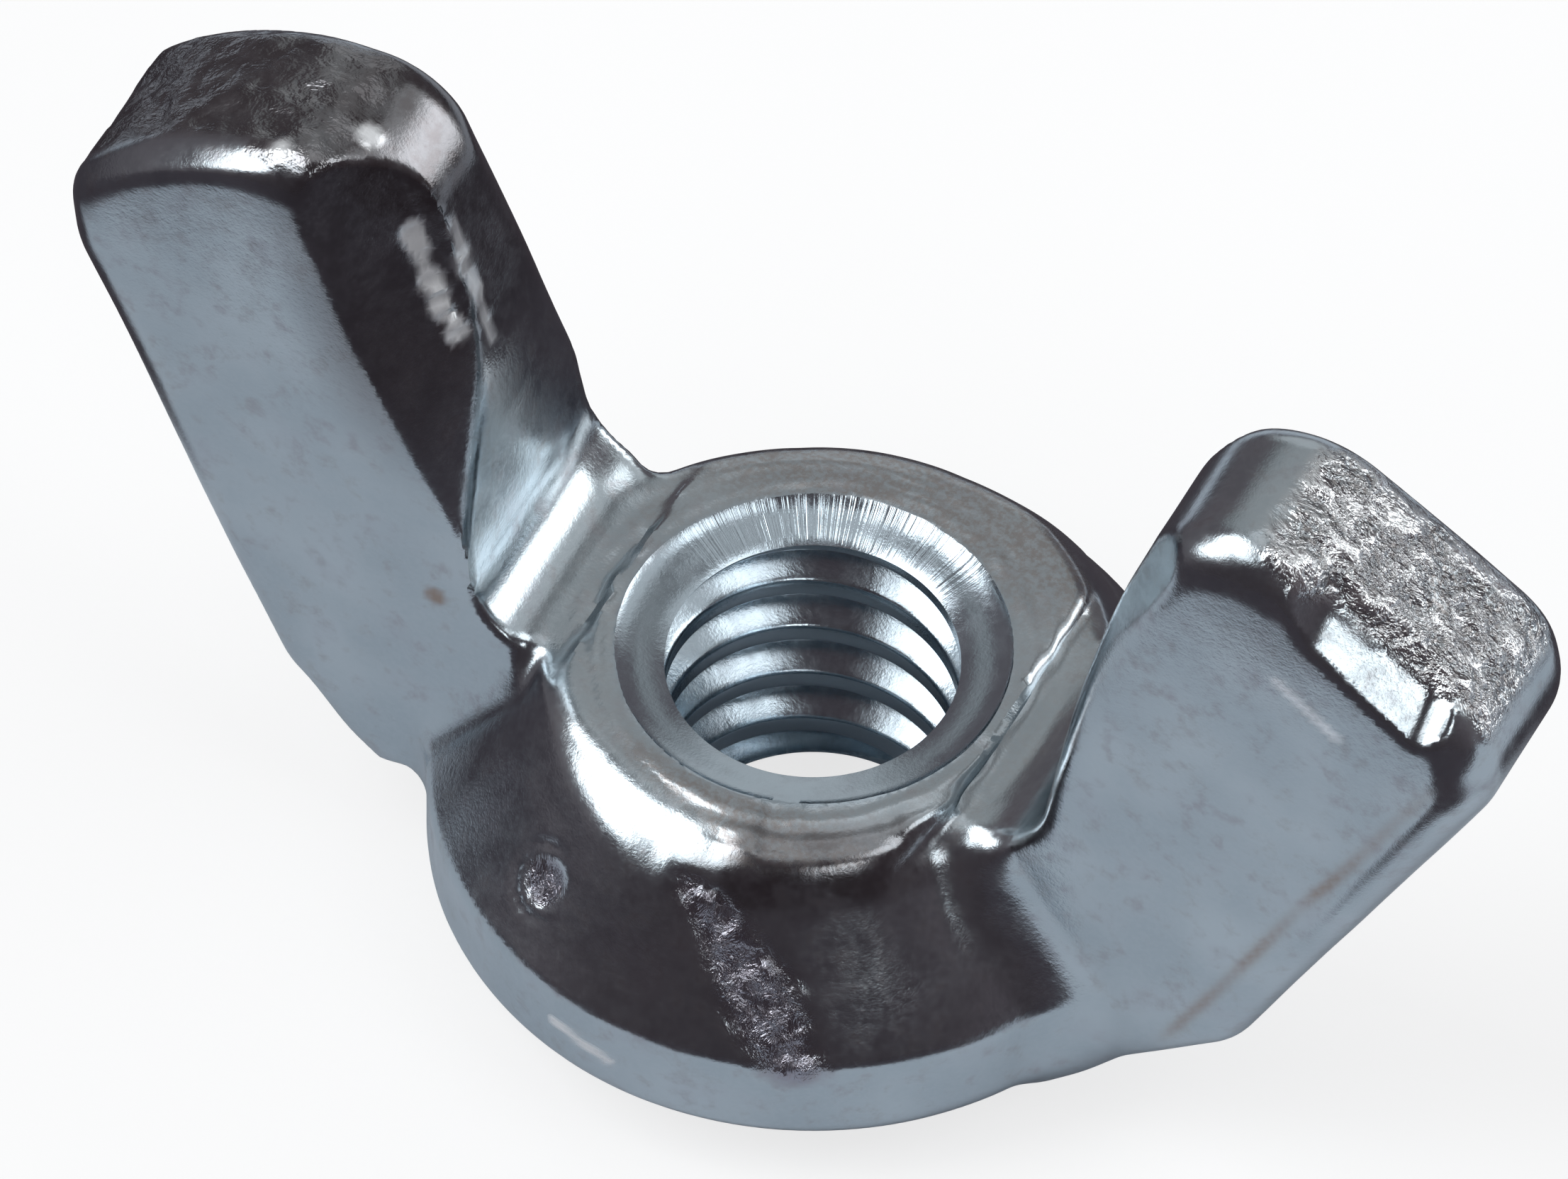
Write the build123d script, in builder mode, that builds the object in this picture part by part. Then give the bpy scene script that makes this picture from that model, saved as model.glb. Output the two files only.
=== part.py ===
"""Forged wing nut, American pattern, tapped 1/4-20 UNC. Millimetres.

The origin is the centre of the bore on the bearing face. +Z runs up the bore, towards the wing
tips, and the wings spread along X. The nut is one forging, so it is one solid.
"""

from build123d import *
from build123d.topology import SkipClean

import os
from math import cos, radians, sin, tan

# Thread, 1/4-20 UNC, right hand
PITCH = 25.4 / 20
MAJOR_R = 6.35 / 2
MINOR_R = 5.1 / 2
FLANK = radians(30)
ROOT_FLAT = PITCH / 8
THREAD_TURN = 30
WALL_CUTS = (7, 67, 127)

# Boss
BOSS_H = 6.3
SKIRT_R = 6.7
SKIRT_Z0 = 1.35
SKIRT_Z1 = 3.05
BEARING_R = 5.5
RIM_R = 4.05
RIM_ROUND = 0.85
SIDE_ANGLE = radians(35)

# Countersinks at both ends of the bore
SINK_R = 3.45
SINK_DEPTH = 0.35

# Wing outline in the XZ plane: its edges are x = root_x + lean * height above the boss
INNER_ROOT_X = 4.4
INNER_LEAN = 0.315
OUTER_ROOT_X = 10.9
OUTER_LEAN = 0.51
TIP_RISE = 16.2
TIP_SLOPE = 0.66
HEEL_RISE = -3.2
FOOT_X = 5.9
FOOT_Z = 0.45
CORNER_R = 2.0
HEEL_R = 1.5
EDGE_R = 0.95

# Wing thickness, which tapers towards the tips
ROOT_T = 4.6
TAPER = 0.11

# Seats trimmed into the wing roots
SEAT_X = 3.7
SEAT_DROP = 0.12
SEAT_WALL_X = 5.3
SEAT_CORNER_R = 1.15
SEAT_LEAN = 0.15
SEAT_H = 8.0

os.makedirs("parts", exist_ok=True)


def tip_corner(root_x, lean):
    """Where a wing edge meets the tip line, z = BOSS_H + TIP_RISE - TIP_SLOPE * x."""
    x = (root_x + lean * TIP_RISE) / (1 + lean * TIP_SLOPE)
    return x, BOSS_H + TIP_RISE - TIP_SLOPE * x


def half_thickness(z):
    return (ROOT_T - TAPER * (z - BOSS_H)) / 2


inner_root = (INNER_ROOT_X - INNER_LEAN * BOSS_H / 2, BOSS_H / 2)
inner_tip = tip_corner(INNER_ROOT_X, INNER_LEAN)
outer_tip = tip_corner(OUTER_ROOT_X, OUTER_LEAN)
heel = (OUTER_ROOT_X + OUTER_LEAN * HEEL_RISE, BOSS_H + HEEL_RISE)
wing_top = inner_tip[1]

# The boss side is a cone, tangent to the rounded rim
rim_end = (RIM_R + RIM_ROUND * cos(SIDE_ANGLE), BOSS_H - RIM_ROUND * (1 - sin(SIDE_ANGLE)))

with BuildPart() as wings:
    with BuildSketch(Plane.XZ) as outline:
        with BuildLine():
            Polyline(inner_root, inner_tip, outer_tip, heel, (FOOT_X, FOOT_Z), (0, FOOT_Z), (0, BOSS_H / 2),
                     close=True)
        make_face()
        fillet(outline.vertices().sort_by(Axis.Y)[-2:], CORNER_R)
        fillet(outline.vertices().sort_by_distance(heel)[0], HEEL_R)
    extrude(amount=ROOT_T, both=True)
    with BuildSketch(Plane.YZ):
        with BuildLine():
            low = half_thickness(0)
            high = half_thickness(wing_top)
            Polyline((-low, 0), (low, 0), (high, wing_top), (-high, wing_top), close=True)
        make_face()
    extrude(amount=2 * OUTER_ROOT_X, mode=Mode.INTERSECT)
    side_faces = wings.faces().sort_by(Axis.Y)
    rim = side_faces[0].edges() + side_faces[-1].edges()
    fillet([e for e in rim if e.center().X > INNER_ROOT_X - 1.5 and e.center().Z > FOOT_Z + 0.1], EDGE_R)
    mirror(about=Plane.YZ)

with BuildPart() as groove:
    start = -PITCH
    groove_r = MINOR_R - 0.15
    mouth = ROOT_FLAT / 2 + (MAJOR_R - groove_r) * tan(FLANK)
    with BuildLine():
        helix = Helix(PITCH, BOSS_H + 2 * PITCH, MINOR_R, center=(0, 0, start))
    with BuildSketch(Plane.XZ):
        with BuildLine():
            Polyline((groove_r, start - mouth), (MAJOR_R, start - ROOT_FLAT / 2),
                     (MAJOR_R, start + ROOT_FLAT / 2), (groove_r, start + mouth), close=True)
        make_face()
    sweep(path=helix, is_frenet=True)

# The threaded bore, as the shape that is cut out. It is in wedges, so that the crest of the thread
# is a run of short cylindrical faces and not one long spiral
with BuildPart() as threaded_bore:
    add(groove.part, rotation=(0, 0, THREAD_TURN))
    with Locations((0, 0, BOSS_H / 2)):
        Cylinder(MINOR_R, BOSS_H + 2)
    for angle in WALL_CUTS:
        split(bisect_by=Plane.XZ.rotated((0, 0, angle)), keep=Keep.BOTH)

with BuildPart() as wing_nut:
    # boss
    with BuildSketch(Plane.XZ):
        with BuildLine():
            Polyline((0, BOSS_H), (0, 0), (BEARING_R, 0), (SKIRT_R, SKIRT_Z0), (SKIRT_R, SKIRT_Z1), rim_end)
            RadiusArc(rim_end, (RIM_R, BOSS_H), RIM_ROUND)
            Line((RIM_R, BOSS_H), (0, BOSS_H))
        make_face()
    revolve(axis=Axis.Z)
    add(wings.part)

    # seats in the wing roots
    with BuildSketch(Plane.XZ) as seat:
        with BuildLine():
            z0 = BOSS_H - SEAT_DROP
            Polyline((SEAT_X, z0), (SEAT_WALL_X, z0), (SEAT_WALL_X + SEAT_LEAN * SEAT_H, z0 + SEAT_H),
                     (SEAT_X, z0 + SEAT_H), close=True)
        make_face()
        fillet(seat.vertices().sort_by_distance((SEAT_WALL_X, z0))[0], SEAT_CORNER_R)
        mirror(about=Plane.YZ)
    extrude(amount=SKIRT_R, both=True, mode=Mode.SUBTRACT)

    # countersinks
    with BuildSketch(Plane.XZ):
        with BuildLine():
            Polyline((0, BOSS_H), (SINK_R, BOSS_H), (MINOR_R, BOSS_H - SINK_DEPTH), (0, BOSS_H - SINK_DEPTH),
                     close=True)
        make_face()
        with BuildLine():
            Polyline((0, 0), (SINK_R, 0), (MINOR_R, SINK_DEPTH), (0, SINK_DEPTH), close=True)
        make_face()
    revolve(axis=Axis.Z, mode=Mode.SUBTRACT)

    # bore and thread
    with SkipClean():
        add(threaded_bore.solids(), mode=Mode.SUBTRACT)

wing_nut.part.label = "wing_nut"
export_step(wing_nut.part, "parts/wing_nut.step")
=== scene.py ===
"""Looks of the forged, zinc plated wing nut: its surface, finish, light and camera."""

import math

import bmesh
import bpy
import numpy as np
from mathutils import Matrix, Vector


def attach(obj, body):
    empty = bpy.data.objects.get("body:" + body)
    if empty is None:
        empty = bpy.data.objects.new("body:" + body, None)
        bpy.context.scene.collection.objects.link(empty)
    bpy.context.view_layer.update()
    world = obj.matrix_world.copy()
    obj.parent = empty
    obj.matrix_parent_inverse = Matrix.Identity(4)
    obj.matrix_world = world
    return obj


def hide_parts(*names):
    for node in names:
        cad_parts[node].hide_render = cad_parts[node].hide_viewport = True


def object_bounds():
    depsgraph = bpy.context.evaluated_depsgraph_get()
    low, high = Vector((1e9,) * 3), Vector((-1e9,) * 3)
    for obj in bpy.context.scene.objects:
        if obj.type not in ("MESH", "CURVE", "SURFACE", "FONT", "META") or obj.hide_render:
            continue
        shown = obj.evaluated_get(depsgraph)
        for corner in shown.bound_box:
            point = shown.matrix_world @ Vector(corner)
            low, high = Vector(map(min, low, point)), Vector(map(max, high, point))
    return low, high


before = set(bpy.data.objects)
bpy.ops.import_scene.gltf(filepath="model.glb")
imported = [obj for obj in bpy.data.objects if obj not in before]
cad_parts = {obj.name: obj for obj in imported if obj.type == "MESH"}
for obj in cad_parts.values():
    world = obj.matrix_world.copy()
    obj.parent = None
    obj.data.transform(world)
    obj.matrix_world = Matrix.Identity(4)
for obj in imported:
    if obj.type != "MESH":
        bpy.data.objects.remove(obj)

cad_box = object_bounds()

# ---------------------------------------------------------------- the nut's sizes, in millimetres

# Thread. It is turned round the bore by so many degrees
PITCH = 1.27
MAJOR_R = 3.175
MINOR_R = 2.55
THREAD_TURN = 30.0

# Boss
BOSS_H = 6.3
SKIRT_R = 6.7
SKIRT_TOP = 3.05
BEARING_R = 5.5

# Wings. Their edges and sides are at these places at the height of the boss, and the plane of the
# right tip meets the axis RIGHT_RISE above it
INNER_ROOT = 4.4
OUTER_ROOT = 10.9
ROOT_HALF_T = 2.3
TAPER = 0.055
FOOT_X = 5.9
FOOT_Z = 0.45
RIGHT_RISE = 15.65

# The left tip is an arc. Its centre is given as the distance from the axis and the height above the boss
CROWN_R = 7.2
CROWN = (11.9 - CROWN_R * 0.551, 8.38 - CROWN_R * 0.835)

# Seats trimmed beside the top of the boss
SEAT_X = 3.7
SEAT_WALL_X = 5.3
SEAT_LEAN = 0.15
SEAT_Z_LEFT = 6.18
SEAT_Z_RIGHT = 6.03

# Cell of the mesh's grid, and the step over which a slope is measured
VOXEL = 0.125
EPS = 0.01


def lattice(seed):
    return np.random.default_rng(seed).uniform(-1, 1, (32, 32, 32)).astype(np.float32)


LATTICES = [lattice(seed) for seed in range(11, 19)]


def noise(p, size, which=0):
    """Smooth noise from -1 to 1, with features about size millimetres across."""
    q = p / np.asarray(size, float) + 7.3 * which
    base = np.floor(q)
    t = q - base
    t = t * t * (3 - 2 * t)
    i = base.astype(int) % 32
    j = (i + 1) % 32
    g = LATTICES[which % len(LATTICES)]
    x0, y0, z0 = i[:, 0], i[:, 1], i[:, 2]
    x1, y1, z1 = j[:, 0], j[:, 1], j[:, 2]
    tx, ty, tz = t[:, 0], t[:, 1], t[:, 2]
    a = g[x0, y0, z0] * (1 - tx) + g[x1, y0, z0] * tx
    b = g[x0, y1, z0] * (1 - tx) + g[x1, y1, z0] * tx
    c = g[x0, y0, z1] * (1 - tx) + g[x1, y0, z1] * tx
    d = g[x0, y1, z1] * (1 - tx) + g[x1, y1, z1] * tx
    return (a * (1 - ty) + b * ty) * (1 - tz) + (c * (1 - ty) + d * ty) * tz


def step(x, low, high):
    """Smooth step from 0 at low to 1 at high. low may be the larger."""
    t = np.clip((x - low) / (high - low), 0, 1)
    return t * t * (3 - 2 * t)


def corner(a, b, cos_ab, r):
    """Distance to the space behind two planes, with their edge rounded to radius r."""
    ea, eb = a + r, b + r
    far = np.sqrt(np.maximum(ea * ea + eb * eb - 2 * cos_ab * ea * eb, 0) / (1 - cos_ab**2))
    beyond = (ea > cos_ab * eb) & (eb > cos_ab * ea)
    return np.where(beyond, far, np.maximum(ea, eb)) - r


def join(a, b, r):
    """Union of two shapes, with a fillet of about r where they meet."""
    u = np.maximum(r - a, 0)
    v = np.maximum(r - b, 0)
    return np.maximum(r, np.minimum(a, b)) - np.sqrt(u * u + v * v)


def soft_max(a, b, softness):
    """The larger of two distances, with their edge eased."""
    return 0.5 * (a + b + np.sqrt((a - b) ** 2 + softness))


def plane2(u, v, nu, nv, pu, pv):
    """Signed distance from the line through (pu, pv) with outward normal (nu, nv)."""
    return (u - pu) * nu + (v - pv) * nv


def unit(u, v):
    n = math.hypot(u, v)
    return u / n, v / n


def cosine(m, n):
    return m[0] * n[0] + m[1] * n[1]


TOP = (0.0, 1.0)
CONE = unit(2.8875, 1.954)
SKIRT = (1.0, 0.0)
BEVEL = unit(1.35, -1.2)
BOTTOM = (0.0, -1.0)
IN = unit(-1.0, 0.315)
OUT = unit(1.0, -0.51)
TIP = unit(0.66, 1.0)
FOOT = unit(2.65, -3.368)


def by_azimuth(azimuth, table):
    """Value interpolated around the boss, from (degrees, value) pairs that run from -180 to 180."""
    at, value = np.array(table).T
    return np.interp(azimuth, at, value)


# Around the boss, by azimuth: the rim's rounding, how far the cone stands out, and the reach of the land
RIM_ROUND = [(-180, 0.8), (-150, 0.7), (-132, 0.8), (-119, 1.4), (-96, 2.2), (-84, 1.7), (-74, 0.6),
             (-40, 0.5), (-25, 0.7), (0, 0.6), (30, 0.4), (65, 0.4), (85, 0.8), (110, 0.85), (180, 0.85)]
RIM_OUT = [(-180, 0.0), (-150, 0.0), (-115, 0.05), (-92, 0.15), (-75, 0.05), (-50, -0.1), (-37, -0.25),
           (-25, -0.1), (0, 0.0), (25, 0.1), (38, 0.3), (62, 0.3), (85, 0.1), (120, 0.0), (150, 0.1),
           (180, 0.0)]
LAND_OUT = [(-180, 4.3), (-150, 4.2), (-130, 4.0), (-110, 3.95), (-90, 4.1), (-76, 5.0), (-40, 5.1),
            (-20, 4.5), (0, 4.6), (30, 5.3), (65, 5.3), (80, 5.0), (110, 4.8), (150, 4.6), (180, 4.3)]


def boss(x, y, z):
    """Signed distance from the boss, without its bore."""
    rho = np.hypot(x, y)
    azimuth = np.degrees(np.arctan2(y, x))
    out = by_azimuth(azimuth, RIM_OUT) * step(z, 3.4, 5.6)
    top = plane2(rho, z, *TOP, 0, BOSS_H)
    cone = plane2(rho, z, *CONE, SKIRT_R, SKIRT_TOP) - out
    skirt = plane2(rho, z, *SKIRT, SKIRT_R, 0)
    bevel = plane2(rho, z, *BEVEL, BEARING_R, 0)
    bottom = plane2(rho, z, *BOTTOM, 0, 0)
    d = corner(top, cone, cosine(TOP, CONE), by_azimuth(azimuth, RIM_ROUND))
    d = np.maximum(d, corner(cone, skirt, cosine(CONE, SKIRT), 0.5))
    d = np.maximum(d, corner(skirt, bevel, cosine(SKIRT, BEVEL), 0.6))
    d = np.maximum(d, corner(bevel, bottom, cosine(BEVEL, BOTTOM), 0.2))
    # a flat worn on the rim, sloping out and down a little
    facet = plane2(rho, z, *unit(0.14, 0.99), 3.6, BOSS_H)
    facet = facet - 0.7 * (1 - step(azimuth, -86, -73) * step(azimuth, -26, -44))
    return soft_max(d, facet, 0.02)


def tip_face(x, z):
    """Distance beyond the sloping tip of a wing. The left tip is crowned, and the right wing is shorter."""
    h = z - BOSS_H
    flat = plane2(x, h, *TIP, 0, RIGHT_RISE)
    crowned = np.hypot(-x - CROWN[0], h - CROWN[1]) - CROWN_R
    return np.where(x > 0, flat, crowned)


def inner_edge(x, z):
    """Distance beyond the edge of a wing that faces the bore."""
    return plane2(np.abs(x), z - BOSS_H, *IN, INNER_ROOT, 0)


def outer_edge(x, z):
    """Distance beyond the edge of a wing that faces away from the bore."""
    return plane2(np.abs(x), z - BOSS_H, *OUT, OUTER_ROOT, 0)


def side_face(y, z):
    """Distance from the faces of a wing, which come closer together towards its tip."""
    return (np.abs(y) - ROOT_HALF_T + TAPER * (z - BOSS_H)) * 0.9985


def outline(x, z):
    """Distance from the edge of one wing's outline, in its own plane."""
    tip = tip_face(x, z)
    right = x > 0
    inner = inner_edge(x, z) + np.where(right, 0.0, 0.022 * (z - BOSS_H))
    outer = outer_edge(x, z)
    foot = plane2(np.abs(x), z, *FOOT, FOOT_X, FOOT_Z)
    d = corner(tip, inner, cosine(TIP, IN), np.where(right, 2.1, 1.3))
    d = np.maximum(d, corner(tip, outer, cosine(TIP, OUT), np.where(right, 1.9, 1.4)))
    d = np.maximum(d, corner(outer, foot, cosine(OUT, FOOT), 1.5))
    return np.maximum(d, 0.5 - z)


def wing(x, y, z):
    """Signed distance from both wings."""
    h = z - BOSS_H
    side = side_face(y, z)
    inner = inner_edge(x, z)
    outer = outer_edge(x, z)
    tip = tip_face(x, z)
    at_tip = step(tip - np.maximum(inner, outer), -1.2, 0.4)
    at_tip = at_tip * np.where(x > 0, 1, step(inner, -1.3, -3.3))
    at_outer = step(outer - np.maximum(inner, tip), -1.2, 0.4) * step(h, 0.0, 4.0)
    near_inner = step(outer, -2.0, -4.3)
    bevelled = near_inner * step(x, 0.5, -0.5) * step(y, 0.4, -0.4)
    chamfered = step(x, 9.4, 10.4) * step(x, 13.0, 12.2) * (y < 0)
    edge = 0.85 + 0.15 * at_outer
    edge = edge - 0.5 * near_inner * step(h, 4.0, 1.0) * np.where((x > 0) & (y < 0), 0, 1)
    edge = edge + at_tip * (1 - at_outer) * (np.where(x > 0, 0.9 - 0.5 * chamfered, 0.55) - edge)
    d = corner(outline(x, z), side, 0.0, edge)
    # the front of the left wing is bevelled towards its inner edge, more so higher up
    lean = inner + 0.022 * h
    bevel = 0.62 * side + 0.785 * (lean + 0.3 + 1.25 * step(h, -0.5, 8.5))
    bevel = bevel - 0.8 * (1 - bevelled)
    d = soft_max(d, bevel, 0.002)
    # the right tip's front edge is worn to a chamfer
    worn = 0.82 * tip + 0.572 * side + 0.66 - 0.4 * (1 - chamfered)
    return soft_max(d, worn, 0.001)


def seat(x, y, z):
    """The space trimmed away beside the top of the boss."""
    round_r = np.where(x < 0, 1.35 + 0.5 * step(y, 1.2, 2.4), 1.5)
    floor_z = np.where(x < 0, SEAT_Z_LEFT, SEAT_Z_RIGHT)
    x = np.abs(x)
    wall = ((x - SEAT_WALL_X) - SEAT_LEAN * (z - SEAT_Z_LEFT)) * 0.989
    return np.maximum(corner(floor_z - z, wall, 0.148, round_r), SEAT_X - x)


def nut(p):
    """Signed distance from the plain forged shape, without its bore."""
    x, y, z = p[:, 0], p[:, 1], p[:, 2]
    d = join(boss(x, y, z), wing(x, y, z), np.where(x < 0, 0.5, 0.9))
    lip = np.where(x < 0, 0.12, 0.22 + 0.3 * step(y, -1.5, -3.0))
    return corner(d, -seat(x, y, z), 0.0, lip)


def segment(p, a, b):
    """Distance from the line between a and b, and how far along it."""
    a, b = np.array(a, float), np.array(b, float)
    t = np.clip((p - a) @ (b - a) / ((b - a) @ (b - a)), 0, 1)
    return np.linalg.norm(p - a - t[:, None] * (b - a), axis=1), t


# The scar's middle line down the cone, and its half width at each point
SCAR = [(0.35, -5.05, 5.46), (1.0, -5.3, 5.0), (1.38, -5.44, 4.65), (2.19, -5.81, 3.77), (2.77, -6.01, 3.16)]
SCAR_HALF = [0.45, 0.7, 0.85, 0.95, 0.7]

# Single marks: a round dent on the cone, beads on the left tip, a rust spot on the left wing, a
# scratch on the right wing, scuffs on the left wing and a streak on the skirt that is a painted highlight
DENT = (-2.42, -5.3, 4.32)
DENT_SIZE = (0.6, 0.55, 0.65)
BEADS = [(-8.42, -0.25, 15.6), (-9.57, -1.25, 15.55)]
RUST_SPOT = (-6.13, -2.28, 6.69)
SCRATCH = [(9.72, -1.91, 13.2), (10.89, -1.95, 12.4)]
STREAKS = [[(-7.46, -0.56, 13.89), (-6.56, -0.7, 11.94)], [(-6.94, 0.04, 13.81), (-6.15, -0.18, 11.41)]]
GLINT = [(-1.62, -6.5, 2.3), (-0.5, -6.68, 2.08)]


def distance(p, point):
    return np.linalg.norm(p - np.array(point), axis=1)


def scar_mask(p):
    """1 on the torn scar on the front of the cone."""
    m = np.zeros(len(p))
    for i in range(len(SCAR) - 1):
        d, t = segment(p, SCAR[i], SCAR[i + 1])
        half = SCAR_HALF[i] * (1 - t) + SCAR_HALF[i + 1] * t
        m = np.maximum(m, step(d + 0.15 * noise(p, 0.5, 4), half, half * 0.3))
    return m


def dent_reach(p):
    """Distance from the dent's centre, in units of its size."""
    return np.linalg.norm((p - np.array(DENT)) / np.array(DENT_SIZE), axis=1)


def dent_mask(p):
    return step(dent_reach(p), 0.9, 0.5)


def tip_mask(p):
    """1 on the rough trimmed faces at the wing tips."""
    x, y, z = p[:, 0], p[:, 1], p[:, 2]
    m = step(tip_face(x, z), -0.45, -0.12) * step(inner_edge(x, z), -0.7, -1.4)
    m = m * step(outer_edge(x, z), -0.5, -1.1)
    # the chamfer and the bevel stay smooth
    outside = np.abs(x) > 10.2
    front = step(y, np.where(outside, -1.35, -1.9), np.where(outside, -1.0, -1.7))
    return m * step(np.abs(y), 1.75, 1.3) * front


def streak_mask(p):
    """1 on the two scuffs on the left wing's inner edge. They stand proud and are also painted white as a
    painted highlight.
    """
    a, _ = segment(p, *STREAKS[0])
    b, _ = segment(p, *STREAKS[1])
    ragged = 0.13 * noise(p, 0.28, 6)
    return np.maximum(step(a + ragged, 0.24, 0.1), 0.7 * step(b + ragged, 0.24, 0.1))


def glint_mask(p):
    """A painted highlight: a streak on the front of the skirt that is painted white."""
    d, _ = segment(p, *GLINT)
    return step(d, 0.17, 0.07)


def trim_line(p, width):
    """1 on the line left by the trimming die, inside the outer edge of each wing."""
    wander = 0.06 * noise(p, 1.5, 3)
    return np.exp(-(((outer_edge(p[:, 0], p[:, 2]) + 1.0 + wander) / width) ** 2))


def land_mask(p):
    """1 on the rough flat ring around the mouth of the bore."""
    rho = np.hypot(p[:, 0], p[:, 1])
    reach = by_azimuth(np.degrees(np.arctan2(p[:, 1], p[:, 0])), LAND_OUT)
    return step(p[:, 2], 5.8, 6.1) * step(rho - reach, 0.2, -0.2) * step(rho, 3.2, 3.4)


def relief(p):
    """Height of the small detail on the surface. Positive stands proud."""
    x, y, z = p[:, 0], p[:, 1], p[:, 2]
    rho = np.hypot(x, y)
    on_flat = step(side_face(y, z), -0.25, -0.05) * step(rho, 6.0, 7.0)
    h = 0.030 * noise(p, 2.6, 0) + 0.006 * noise(p, 1.1, 1) * (1 - 0.5 * on_flat)
    # trimmed tips: pits and torn grain
    tip = tip_mask(p)
    pits = noise(p, (0.6, 0.35, 0.5), 2) + 0.6 * noise(p, 0.3, 3)
    deep = np.where(x > 0, 0.10, 0.06)
    h = h + tip * (deep * np.minimum(pits, 0.2) + 0.03 * noise(p, 0.9, 4))
    # scar and dent on the front of the cone
    grain = noise(p, (0.22, 0.22, 0.8), 5) + 0.5 * noise(p, (0.14, 0.14, 0.5), 6)
    h = h + scar_mask(p) * (0.09 * grain - 0.05)
    h = h + dent_mask(p) * (0.06 * grain - 0.06)
    h = h - 0.035 * np.exp(-(((dent_reach(p) - 1.12) / 0.12) ** 2)) * step(x, -2.0, -2.5)
    # rings and roughness on the land
    land = land_mask(p)
    rings = np.sin(rho * 17.0 + 1.2 * noise(p, 1.6, 7)) + 0.8 * noise(p, 0.35, 2)
    h = h + land * (0.016 * rings * step(rho, 4.7, 4.2) - 0.01)
    # faint ripples where the rim was rolled over
    on_rim = step(rho, 3.8, 4.3) * step(z, 4.6, 5.4) * step(rho, 6.5, 5.6)
    h = h + 0.007 * noise(p, (0.9, 0.9, 0.4), 6) * on_rim
    # trim line on the front of the right wing
    h = h - 0.035 * trim_line(p, 0.07) * on_flat * (x > 0) * (y < 0) * step(z, 3.0, 4.2) * step(z, 12.6, 11.4)
    # scuffs on the left wing
    h = h + 0.08 * streak_mask(p) * noise(p, (0.5, 0.5, 0.17), 4)
    # beads on the left tip
    for bead in BEADS:
        h = h + 0.09 * np.exp(-(((p - np.array(bead)) ** 2).sum(1)) / 0.22**2)
    # lip thrown up around the countersink
    lip = np.exp(-(((rho - 3.68 - 0.07 * noise(p, 0.9, 3)) / 0.1) ** 2)) * step(z, 6.0, 6.2)
    h = h + 0.06 * lip * (0.55 + 0.7 * noise(p, 0.4, 5))
    return h


def surface(p):
    """Signed distance from the shape with its small detail."""
    return nut(p) - relief(p)


def net(field, origin, size):
    """Closed quad mesh of the surface where field is 0, one vertex in each cell it crosses."""
    inside = field < 0
    nx, ny, nz = field.shape
    cells = np.zeros((nx - 1, ny - 1, nz - 1), np.uint8)
    for i in (0, 1):
        for j in (0, 1):
            for k in (0, 1):
                cells += inside[i:nx - 1 + i, j:ny - 1 + j, k:nz - 1 + k]
    used = np.argwhere((cells > 0) & (cells < 8))
    index = -np.ones(cells.shape, int)
    index[tuple(used.T)] = np.arange(len(used))
    total = np.zeros((len(used), 3))
    count = np.zeros(len(used))
    corners = [(i, j, k) for i in (0, 1) for j in (0, 1) for k in (0, 1)]
    for a in corners:
        for axis in range(3):
            if a[axis]:
                continue
            b = tuple(1 if n == axis else a[n] for n in range(3))
            fa = field[tuple((used + a).T)]
            fb = field[tuple((used + b).T)]
            cut = (fa < 0) != (fb < 0)
            t = np.where(cut, fa / np.where(cut, fa - fb, 1), 0)
            place = np.array(a, float) + t[:, None] * (np.array(b) - np.array(a))
            total[cut] += place[cut]
            count[cut] += 1
    verts = origin + size * (used + total / count[:, None])
    quads = []
    for axis in range(3):
        u, v = [n for n in range(3) if n != axis]
        low = [slice(None)] * 3
        high = [slice(None)] * 3
        low[axis] = slice(None, -1)
        high[axis] = slice(1, None)
        crossing = inside[tuple(low)] != inside[tuple(high)]
        at = np.argwhere(crossing)
        at = at[(at[:, u] > 0) & (at[:, v] > 0)]
        starts_inside = inside[tuple(at.T)]
        du = np.zeros(3, int)
        dv = np.zeros(3, int)
        du[u] = 1
        dv[v] = 1
        quad = np.stack([index[tuple((at - s).T)] for s in (du + dv, dv, 0 * du, du)], 1)
        turn = starts_inside if axis != 1 else ~starts_inside
        quad[~turn] = quad[~turn][:, ::-1]
        quads.append(quad)
    return verts, np.concatenate(quads)


def gradient(f, p):
    """Slope of f at the points p."""
    g = np.empty_like(p)
    for axis in range(3):
        e = np.zeros(3)
        e[axis] = EPS
        g[:, axis] = (f(p + e) - f(p - e)) / (2 * EPS)
    return g


def make_mesh(name, verts, faces):
    mesh = bpy.data.meshes.new(name)
    mesh.from_pydata((np.asarray(verts) * 0.001).tolist(), [], faces)
    mesh.validate()
    return mesh


def body_mesh():
    """The forging's outside, drawn in onto the detailed surface and kept inside the CAD's box."""
    low = np.array((-14.1, -7.0, -0.35))
    high = np.array((14.1, 7.0, 16.5))
    shape = np.ceil((high - low) / VOXEL).astype(int)
    xs, ys, zs = [low[n] + VOXEL * np.arange(shape[n]) for n in range(3)]
    field = np.empty(shape, np.float32)
    for i, x in enumerate(xs):
        y, z = np.meshgrid(ys, zs, indexing="ij")
        p = np.stack([np.full(y.size, x), y.ravel(), z.ravel()], 1)
        field[i] = nut(p).reshape(y.shape)
    verts, quads = net(field, low, VOXEL)
    for f in (nut, nut, nut, surface, surface, surface):
        g = gradient(f, verts)
        move = f(verts)[:, None] * g / np.maximum((g * g).sum(1), 0.25)[:, None]
        verts = verts - np.clip(move, -VOXEL / 2, VOXEL / 2)
    lo = np.array(cad_box[0]) * 1000
    hi = np.array(cad_box[1]) * 1000
    return make_mesh("forging", np.clip(verts, lo, hi), quads.tolist())


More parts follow.
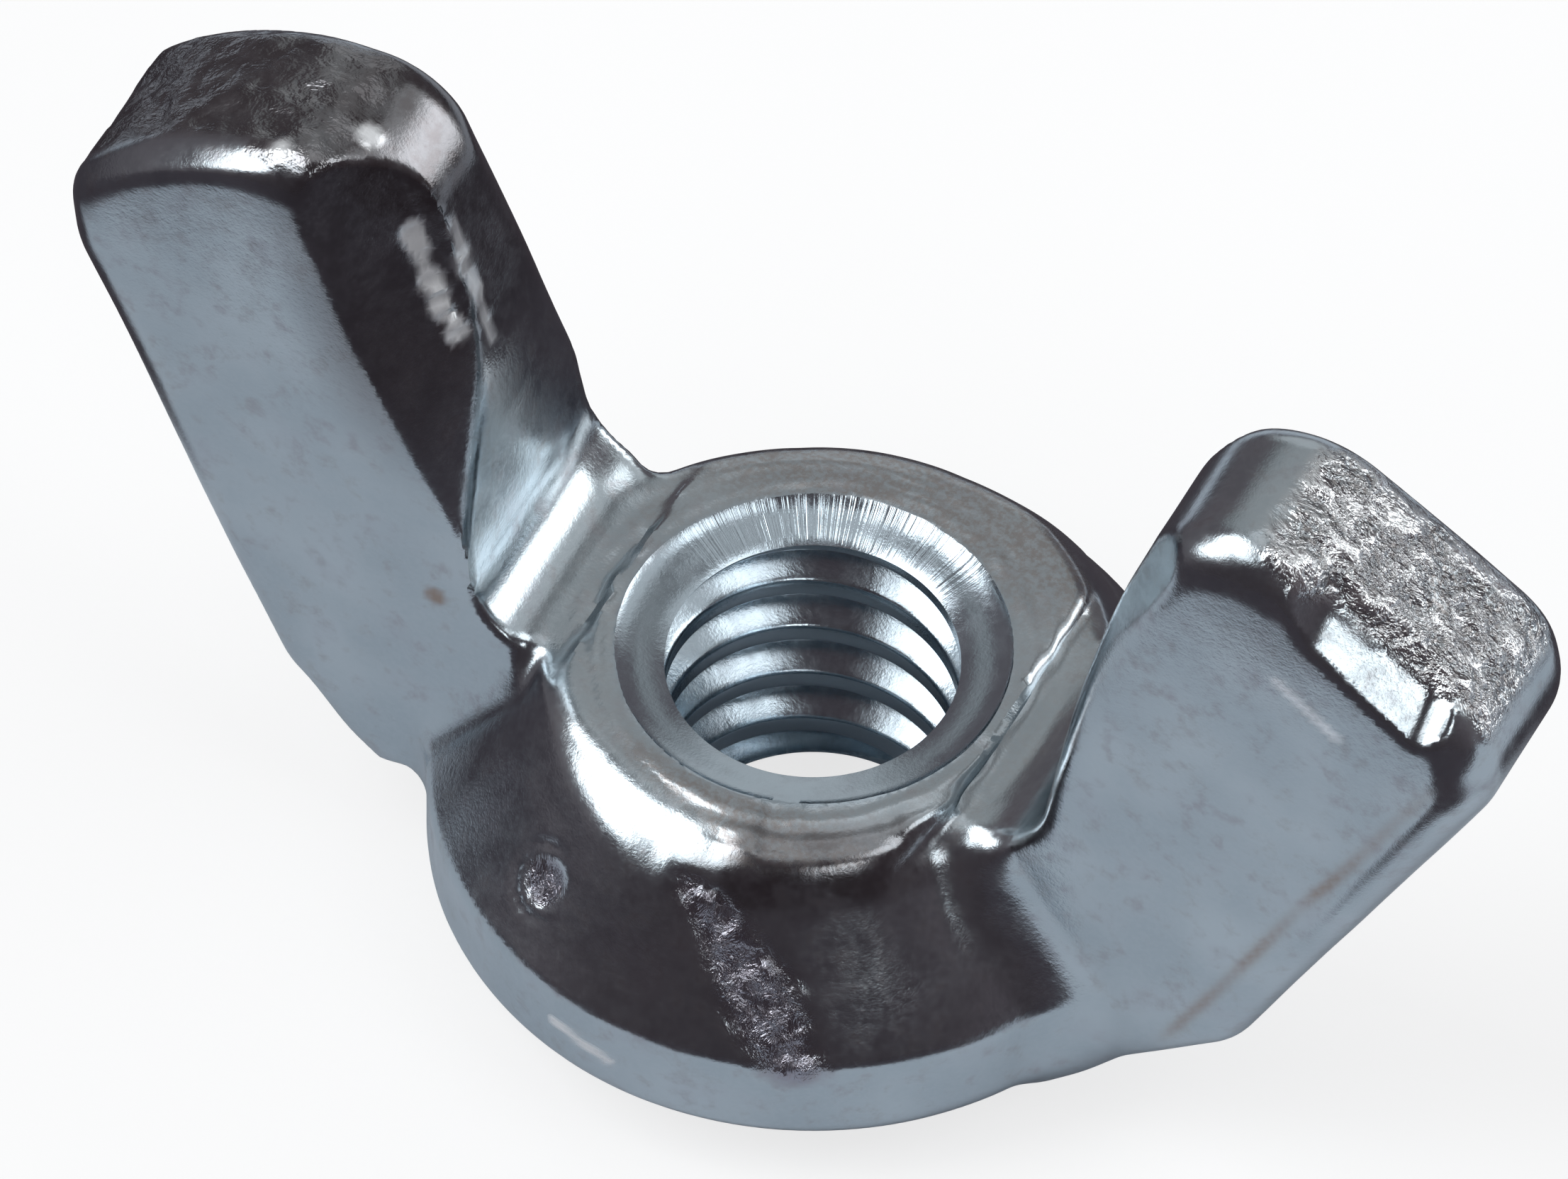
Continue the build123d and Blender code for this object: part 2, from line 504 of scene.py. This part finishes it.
def bore_radius(t, z):
    """Radius of the tapped bore, at height z and t above the middle of the groove."""
    flank = MAJOR_R - (np.abs(t) - PITCH / 16) / math.tan(math.radians(30))
    root = MAJOR_R - 0.5 * (MAJOR_R - flank + np.sqrt((MAJOR_R - flank) ** 2 + 0.004))
    r = soft_max(root, MINOR_R, 0.003)
    # the groove runs out at both ends
    cut = 0.92 * step(z, 6.0, 5.5) * (0.25 + 0.75 * step(z, 0.1, 0.7))
    return MINOR_R + (r - MINOR_R) * cut


def bore_mesh():
    """The tapped bore as a closed solid. Its rows follow the thread round."""
    around = 160
    half = [0.04, 0.08, 0.12, 0.18, 0.26, 0.33, 0.38, 0.41, 0.435, 0.46, 0.49, 0.55]
    offsets = np.array([-t for t in half[::-1]] + [0.0] + half + [PITCH / 2])
    per_pitch = len(offsets)
    turns = 9
    azimuth = np.arange(around) * 360.0 / around
    groove = -2 * PITCH - PITCH * THREAD_TURN / 360
    t = np.tile(offsets, turns)
    z0 = groove + t + np.repeat(np.arange(turns), per_pitch) * PITCH
    z = z0[:, None] + PITCH * azimuth[None, :] / 360
    r = bore_radius(t[:, None], z)
    a = np.radians(azimuth)[None, :]
    ring = np.stack([r * np.cos(a), r * np.sin(a), z], 2)
    n = len(t)
    verts = ring.reshape(-1, 3).tolist()
    faces = []
    for j in range(n - 1):
        for i in range(around - 1):
            k = j * around + i
            faces.append((k, k + 1, k + 1 + around, k + around))
    # past a full turn, a row carries on as the one a pitch higher
    for j in range(n - 1 - per_pitch):
        k = j * around + around - 1
        m = (j + per_pitch) * around
        faces.append((k, m, m + around, k + around))
    low = [i for i in range(around)] + [j * around for j in range(per_pitch, 0, -1)]
    high = [(n - 1) * around + i for i in range(around)][::-1]
    high += [j * around + around - 1 for j in range(n - 1 - per_pitch, n - 1)]
    foot = len(verts)
    verts.append((0.0, 0.0, -4.5))
    head = len(verts)
    verts.append((0.0, 0.0, 11.5))
    for loop, centre in ((low, foot), (high, head)):
        for i, k in enumerate(loop):
            faces.append((loop[(i + 1) % len(loop)], k, centre))
    return make_mesh("bore", verts, faces)


def turned(name, profile, around=220):
    """A closed turned solid. The profile runs up from the axis and back to it."""
    verts = [(0.0, 0.0, profile[0][1]), (0.0, 0.0, profile[-1][1])]
    faces = []
    inside = profile[1:-1]
    for r, z in inside:
        for i in range(around):
            a = 2 * math.pi * (i + 0.5) / around
            verts.append((r * math.cos(a), r * math.sin(a), z))
    for i in range(around):
        m = (i + 1) % around
        faces.append((0, 2 + m, 2 + i))
        for j in range(len(inside) - 1):
            k = 2 + j * around
            faces.append((k + i, k + m, k + around + m, k + around + i))
        k = 2 + (len(inside) - 1) * around
        faces.append((1, k + i, k + m))
    return make_mesh(name, verts, faces)


# Profiles of the countersinks as cutters, as (radius, height). The top one is worn round
TOP_SINK = [(0, 5.5), (2.40, 5.86), (2.56, 5.95), (2.72, 6.015), (2.90, 6.07), (3.02, 6.10), (3.20, 6.155),
            (3.36, 6.23), (3.45, 6.30), (3.52, 6.40), (3.52, 7.5), (0, 7.5)]
FOOT_SINK = [(0, -1.0), (2.95, -1.0), (2.95, -0.1), (2.35, 0.25), (0, 0.6)]


def add_object(name, mesh):
    obj = bpy.data.objects.new(name, mesh)
    bpy.context.scene.collection.objects.link(obj)
    return obj


def outward(mesh):
    """The mesh with its faces turned outward."""
    bm = bmesh.new()
    bm.from_mesh(mesh)
    bmesh.ops.recalc_face_normals(bm, faces=bm.faces)
    bm.to_mesh(mesh)
    bm.free()
    return mesh


forging = add_object("forging", outward(body_mesh()))
cutters = [add_object("cutter", outward(m)) for m in
           (bore_mesh(), turned("top_sink", TOP_SINK), turned("foot_sink", FOOT_SINK))]
for cutter in cutters:
    cut = forging.modifiers.new("cut", "BOOLEAN")
    cut.operation = "DIFFERENCE"
    cut.solver = "MANIFOLD"
    cut.object = cutter
bpy.context.view_layer.update()
graph = bpy.context.evaluated_depsgraph_get()
mesh = bpy.data.meshes.new_from_object(forging.evaluated_get(graph))
mesh.name = "wing_nut_surface"
for obj in [forging] + cutters:
    bpy.data.objects.remove(obj)
mesh.shade_smooth()
mesh.set_sharp_from_angle(angle=math.radians(38))
piece = add_object("wing_nut_surface", mesh)

# ---------------------------------------------------------------- marks that the material reads

co = np.empty(len(mesh.vertices) * 3)
mesh.vertices.foreach_get("co", co)
co = co.reshape(-1, 3) * 1000
x, y, z = co[:, 0], co[:, 1], co[:, 2]
rho = np.hypot(x, y)
azimuth = np.degrees(np.arctan2(y, x))

in_sink = step(rho, 3.52, 3.42) * step(z, 5.8, 5.9) * step(rho, 2.55, 2.75)
trim = trim_line(co, 0.11) * (x > 6) * (y < -1.5)
trim = trim * step(z, 2.6, 3.6) * step(z, 12.6, 11.0) * (0.6 + 0.4 * noise(co, 0.8, 5))
rust_spot = step(distance(co, RUST_SPOT), 0.28, 0.12)
beads = [step(distance(co, bead), 0.32, 0.14) for bead in BEADS]

# painted shade: the left wing is painted darker on its tip, at its top inner corner and down its bevel
left_tip = 0.9 * tip_mask(co) * (x < 0)
left_corner = step(distance(co, (-8.1, 0.4, 15.3)), 2.3, 1.3)
left_bevel = 0.7 * step(x, -5.5, -6.5) * step(z, 8.5, 12.0) * step(inner_edge(x, z), -3.0, -1.4)

# the land is cleaner to the left and right of the bore
clean = 0.75 * step(y, 3.6, 1.6) * step(y, -3.7, -2.9)
masks = {
    "tip": tip_mask(co) * np.where(x > 0, 1.0, 0.3),
    # painted highlight: the beads, the scuffs and the skirt streak are painted white
    "painted_highlight": np.maximum.reduce(beads + [streak_mask(co), glint_mask(co)]),
    "scratch": step(segment(co, *SCRATCH)[0], 0.16, 0.04),
    "painted_shade": np.maximum.reduce([left_tip, left_corner, left_bevel]) * (1 - 0.9 * streak_mask(co)),
    "rim_darkening": step(azimuth, -86, -77) * step(azimuth, -32, -42) * step(rho, 3.75, 4.0) * step(z, 5.2, 5.6),
    "torn": np.maximum(scar_mask(co), dent_mask(co)),
    "land": land_mask(co) * (1 - step(rho, 3.5, 3.35)) * (1 - clean),
    "bore": step(rho, 3.5, 3.38),
    "radial": in_sink * step(azimuth, 50, 75) * step(azimuth, 165, 145),
    "stain": np.clip(np.maximum(trim, rust_spot), 0, 1),
}
for name, values in masks.items():
    layer = mesh.attributes.new(name, "FLOAT", "POINT")
    layer.data.foreach_set("value", values.astype(np.float32))

# ---------------------------------------------------------------- zinc plate


class Nodes:
    """Shorthand for building a node tree."""

    def __init__(self, tree):
        self.tree = tree
        tree.nodes.clear()

    def new(self, kind, inputs=None, **settings):
        node = self.tree.nodes.new(kind)
        for key, value in settings.items():
            setattr(node, key, value)
        for key, value in (inputs or {}).items():
            socket = node.inputs[key]
            if isinstance(value, bpy.types.NodeSocket):
                self.tree.links.new(value, socket)
            else:
                socket.default_value = value
        return node

    def maths(self, operation, a, b=0.0, c=0.0, clamp=False):
        return self.new("ShaderNodeMath", {0: a, 1: b, 2: c}, operation=operation, use_clamp=clamp).outputs[0]

    def mark(self, name):
        """One of the marks kept on the mesh."""
        return self.new("ShaderNodeAttribute", attribute_name=name).outputs["Fac"]

    def bump(self, height, strength, distance, under=None):
        """A bump on top of the one under it."""
        inputs = {"Height": height, "Strength": strength, "Distance": distance}
        if under is not None:
            inputs["Normal"] = under
        return self.new("ShaderNodeBump", inputs).outputs["Normal"]

    def noise(self, vector, scale, detail=2.0, rough=0.5, distortion=0.0):
        return self.new("ShaderNodeTexNoise", {"Vector": vector, "Scale": scale, "Detail": detail,
                                               "Roughness": rough, "Distortion": distortion}).outputs["Fac"]

    def ramp(self, value, low, high, to_low=0.0, to_high=1.0):
        return self.new("ShaderNodeMapRange", {"Value": value, "From Min": low, "From Max": high,
                                               "To Min": to_low, "To Max": to_high},
                        interpolation_type="SMOOTHSTEP").outputs["Result"]

    def mix(self, factor, a, b):
        node = self.new("ShaderNodeMix", {"Factor": factor}, data_type="RGBA")
        for socket, value in ((node.inputs[6], a), (node.inputs[7], b)):
            if isinstance(value, bpy.types.NodeSocket):
                self.tree.links.new(value, socket)
            else:
                socket.default_value = value
        return node.outputs[2]


zinc = bpy.data.materials.new("zinc_plate")
zinc.use_nodes = True
n = Nodes(zinc.node_tree)
where = n.new("ShaderNodeTexCoord").outputs["Object"]
mm = n.new("ShaderNodeMapping", {"Vector": where, "Scale": (1000, 1000, 1000)}).outputs["Vector"]
tip = n.mark("tip")
torn = n.mark("torn")
land = n.mark("land")
bored = n.mark("bore")
radial = n.mark("radial")
stained = n.mark("stain")
rim_darkening = n.mark("rim_darkening")
painted_shade = n.mark("painted_shade")
painted_highlight = n.mark("painted_highlight")
scratched = n.mark("scratch")
axes = n.new("ShaderNodeSeparateXYZ", {0: mm})
turn = n.maths("ARCTAN2", axes.outputs[1], axes.outputs[0])
round_axis = n.new("ShaderNodeCombineXYZ", {0: n.maths("MULTIPLY", turn, 26.0), 1: 0.0, 2: 0.0}).outputs[0]

clouds = n.noise(mm, 0.55, 4.0, 0.6)
bloom = n.noise(mm, 1.1, 3.0, 0.6)
mottle = n.noise(mm, 2.2, 5.0, 0.65)
speckle = n.noise(mm, 9.0, 3.0, 0.6)
grain = n.noise(mm, 22.0, 2.0, 0.6)
downward = n.new("ShaderNodeMapping", {"Vector": mm, "Scale": (3.4, 3.4, 1.3)}).outputs["Vector"]
torn_grain = n.noise(downward, 1.0, 4.0, 0.65, 0.6)
aslant = n.new("ShaderNodeMapping", {"Vector": mm, "Rotation": (0, 0, math.radians(35)),
                                     "Scale": (1.4, 2.1, 1.7)}).outputs["Vector"]
tip_grain = n.noise(aslant, 1.0, 4.0, 0.62, 0.25)
lines = n.noise(round_axis, 1.0, 3.0, 0.7)
plateau = n.ramp(tip_grain, 0.38, 0.60)

blue = (0.49, 0.55, 0.59, 1)
pale = (0.59, 0.65, 0.685, 1)
brown = (0.34, 0.285, 0.26, 1)
cool = (0.50, 0.585, 0.65, 1)
dark = (0.19, 0.175, 0.18, 1)
rust = (0.36, 0.27, 0.22, 1)
slate = (0.36, 0.345, 0.41, 1)
white = (0.92, 0.93, 0.94, 1)

# the plate's own tones, then the worn and marked places, painted highlights and painted shade
colour = n.mix(n.ramp(clouds, 0.35, 0.7), blue, pale)
colour = n.mix(n.maths("MULTIPLY", n.ramp(mottle, 0.5, 0.72), 0.3), colour, brown)
colour = n.mix(n.maths("MULTIPLY", n.ramp(bloom, 0.48, 0.7), 0.22), colour, slate)
colour = n.mix(n.maths("MULTIPLY", n.ramp(speckle, 0.42, 0.62), 0.22), colour, pale)
worn = n.maths("MAXIMUM", tip, n.maths("MAXIMUM", torn, land))
dirt = n.maths("MULTIPLY", worn, n.ramp(speckle, 0.35, 0.65, 0.2, 0.7))
colour = n.mix(dirt, colour, brown)
# painted highlight: the raised grain of the trimmed tips is lightened towards white
colour = n.mix(n.maths("MULTIPLY", tip, plateau), colour, white)
colour = n.mix(scratched, colour, white)
# painted shade on the left wing's tip, top inner corner and bevel
colour = n.mix(n.maths("MULTIPLY", painted_shade, n.ramp(mottle, 0.35, 0.65, 0.97, 0.8)), colour, dark)
colour = n.mix(n.maths("MULTIPLY", torn, 0.7), colour, slate)
colour = n.mix(n.maths("MULTIPLY", stained, 0.9), colour, rust)
# the rim is darkened between azimuths -86 and -32, in front of the worn flat
colour = n.mix(n.maths("MULTIPLY", rim_darkening, n.ramp(mottle, 0.35, 0.65, 0.75, 0.45)), colour, dark)
colour = n.mix(n.maths("MULTIPLY", bored, 0.7), colour, cool)
# painted highlight on the beads, the scuffs and the skirt streak
colour = n.mix(painted_highlight, colour, white)

rough = n.ramp(mottle, 0.3, 0.7, 0.15, 0.24)
rough = n.maths("ADD", rough, n.maths("MULTIPLY", n.maths("SUBTRACT", speckle, 0.5), 0.12))
rough = n.maths("ADD", rough, n.maths("MULTIPLY", worn, 0.06), clamp=True)

normal = n.bump(grain, 0.2, 0.00001)
normal = n.bump(speckle, 0.2, 0.000015, normal)
normal = n.bump(mottle, 0.2, 0.000015, normal)
normal = n.bump(n.maths("ADD", tip_grain, n.maths("MULTIPLY", plateau, 0.5)), n.maths("MULTIPLY", tip, 0.5),
                0.0003, normal)
normal = n.bump(torn_grain, n.maths("MULTIPLY", torn, 0.7), 0.00025, normal)
normal = n.bump(lines, n.maths("MULTIPLY", radial, 0.5), 0.00006, normal)

# the painted highlights are partly matt
metal = n.maths("SUBTRACT", 1.0, n.maths("MULTIPLY", painted_highlight, 0.8))
shader = n.new("ShaderNodeBsdfPrincipled", {"Base Color": colour, "Roughness": rough, "Metallic": metal,
                                            "Normal": normal})
n.new("ShaderNodeOutputMaterial", {"Surface": shader.outputs[0]})
mesh.materials.clear()
mesh.materials.append(zinc)
mesh.polygons.foreach_set("material_index", np.zeros(len(mesh.polygons), np.int32))

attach(piece, "root")
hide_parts("wing_nut")

# ---------------------------------------------------------------- floor, light and camera

bpy.ops.mesh.primitive_plane_add(size=3.0, location=(0, 0, -0.00002))
floor = bpy.context.object
floor.name = "floor"
paper = bpy.data.materials.new("paper")
paper.use_nodes = True
n = Nodes(paper.node_tree)
spread = n.new("ShaderNodeTexCoord").outputs["Object"]
across = n.new("ShaderNodeVectorMath", {0: spread}, operation="LENGTH").outputs["Value"]
axes = n.new("ShaderNodeSeparateXYZ", {0: spread})
east, north = axes.outputs[0], axes.outputs[1]
straight = n.new("ShaderNodeLightPath").outputs["Is Camera Ray"]

# what the nut's faces reflect, a painted reflection: a card that is pale under the nut and painted dark
# around it as shade
behind = n.ramp(north, 0.006, 0.009)
beside = n.maths("MULTIPLY", n.ramp(east, -0.0145, -0.018), n.ramp(north, -0.007, -0.004))
ahead = n.ramp(north, -0.015, -0.017)
ahead_right = n.maths("MULTIPLY", n.ramp(east, 0.0105, 0.013), n.ramp(north, -0.0055, -0.0075))
shade = n.ramp(across, 0.022, 0.028)
for region in (behind, beside, ahead, ahead_right):
    shade = n.maths("MAXIMUM", shade, region)
# paler again further out, to the right and at the back
abreast = n.maths("MULTIPLY", n.ramp(north, -0.015, -0.010), n.ramp(north, 0.03, 0.02))
far_right = n.maths("MULTIPLY", n.ramp(east, 0.022, 0.028), abreast)
far_back = n.maths("MULTIPLY", n.ramp(north, 0.026, 0.034), n.ramp(across, 0.15, 0.10))
paler = n.maths("MAXIMUM", far_right, far_back)
shade = n.maths("MULTIPLY", shade, n.maths("SUBTRACT", 1.0, paler))
painted_floor_reflection = n.mix(shade, (0.66, 0.70, 0.755, 1), (0.085, 0.07, 0.08, 1))
seen = n.mix(straight, painted_floor_reflection, (0.3, 0.3, 0.3, 1))
matt = n.new("ShaderNodeBsdfPrincipled", {"Base Color": seen, "Roughness": 1.0, "Specular IOR Level": 0.0,
                                          "Emission Color": (1, 1, 1, 1),
                                          "Emission Strength": n.maths("MULTIPLY", straight, 0.75)})
n.new("ShaderNodeOutputMaterial", {"Surface": matt.outputs[0]})
floor.data.materials.append(paper)


def heading(azimuth, elevation):
    a, e = math.radians(azimuth), math.radians(elevation)
    return (math.cos(a) * math.cos(e), math.sin(a) * math.cos(e), math.sin(e))


world = bpy.data.worlds.new("studio")
bpy.context.scene.world = world
world.use_nodes = True
n = Nodes(world.node_tree)
toward = n.new("ShaderNodeTexCoord").outputs["Generated"]


def glow(azimuth, elevation, core, reach, strength):
    """A soft light in one direction: full inside core degrees of it, gone at reach."""
    dot = n.new("ShaderNodeVectorMath", {0: toward, 1: heading(azimuth, elevation)}, operation="DOT_PRODUCT")
    edge, full = math.cos(math.radians(reach)), math.cos(math.radians(core))
    return n.ramp(dot.outputs["Value"], edge, full, 0.0, strength)


# azimuth, elevation, core, reach and strength of each light
LIGHTS = [
    (205, 57, 11, 19, 4.0),     # left part of the rim
    (-143, 34, 9, 15, 3.5),     # crescent on the front of the rim
    (-118, 52, 6, 12, 2.0),     # its right end
    (40, 16, 9, 20, 2.6),       # fillet of the left seat
    (45, 38, 12, 26, 0.5),      # right tip
    (6, 59, 9, 18, 2.0),        # left side of the thread
    (100, 80, 11, 22, 0.5),     # far side of the countersink
    (-43, 37, 5.5, 9, 2.8),     # chamfer on the right tip
    (117, 50, 14, 32, 0.27),    # land
    (112, 12, 8, 22, 0.45),     # near side of the countersink
]

# an even light, weaker at the front, and the soft lights on top of it
light = n.maths("ADD", 0.14, glow(-75, 12, 35, 85, -0.08))
for spot in LIGHTS:
    light = n.maths("ADD", light, glow(*spot))
tint = n.mix(n.ramp(light, 0.05, 0.28), (1.0, 0.80, 0.90, 1), (0.95, 0.98, 1.0, 1))
camera_ray = n.new("ShaderNodeLightPath").outputs["Is Camera Ray"]
lit = n.new("ShaderNodeBackground", {"Color": tint, "Strength": light})
plain = n.new("ShaderNodeBackground", {"Color": (1, 1, 1, 1), "Strength": 1.0})
background = n.new("ShaderNodeMixShader", {0: camera_ray, 1: lit.outputs[0], 2: plain.outputs[0]})
n.new("ShaderNodeOutputWorld", {"Surface": background.outputs[0]})

# metres from the camera to the top of the boss
DISTANCE = 0.400

camera = bpy.data.cameras.new("camera")
camera.sensor_width = 36.0
# there, a millimetre is 82 of the frame's 2212 columns wide
camera.lens = camera.sensor_width * 82 * (DISTANCE * 1000) / 2212
camera.clip_start = 0.01
camera.clip_end = 10.0
view = bpy.data.objects.new("camera", camera)
bpy.context.scene.collection.objects.link(view)
az, el, roll = math.radians(27.2), math.radians(51.2), math.radians(0.4)
back = Vector((math.sin(az) * math.cos(el), -math.cos(az) * math.cos(el), math.sin(el)))
right = Vector((math.cos(az), math.sin(az), 0))
up = back.cross(right)
turned_right = right * math.cos(roll) + up * math.sin(roll)
turned_up = up * math.cos(roll) - right * math.sin(roll)
aim = Vector((0, 0, BOSS_H)) * 0.001
place = aim + back * DISTANCE - turned_right * 0.0005 + turned_up * 0.001
view.matrix_world = Matrix((
    (turned_right.x, turned_up.x, back.x, place.x),
    (turned_right.y, turned_up.y, back.y, place.y),
    (turned_right.z, turned_up.z, back.z, place.z),
    (0, 0, 0, 1)))
bpy.context.scene.camera = view
bpy.context.scene.view_settings.view_transform = "Standard"
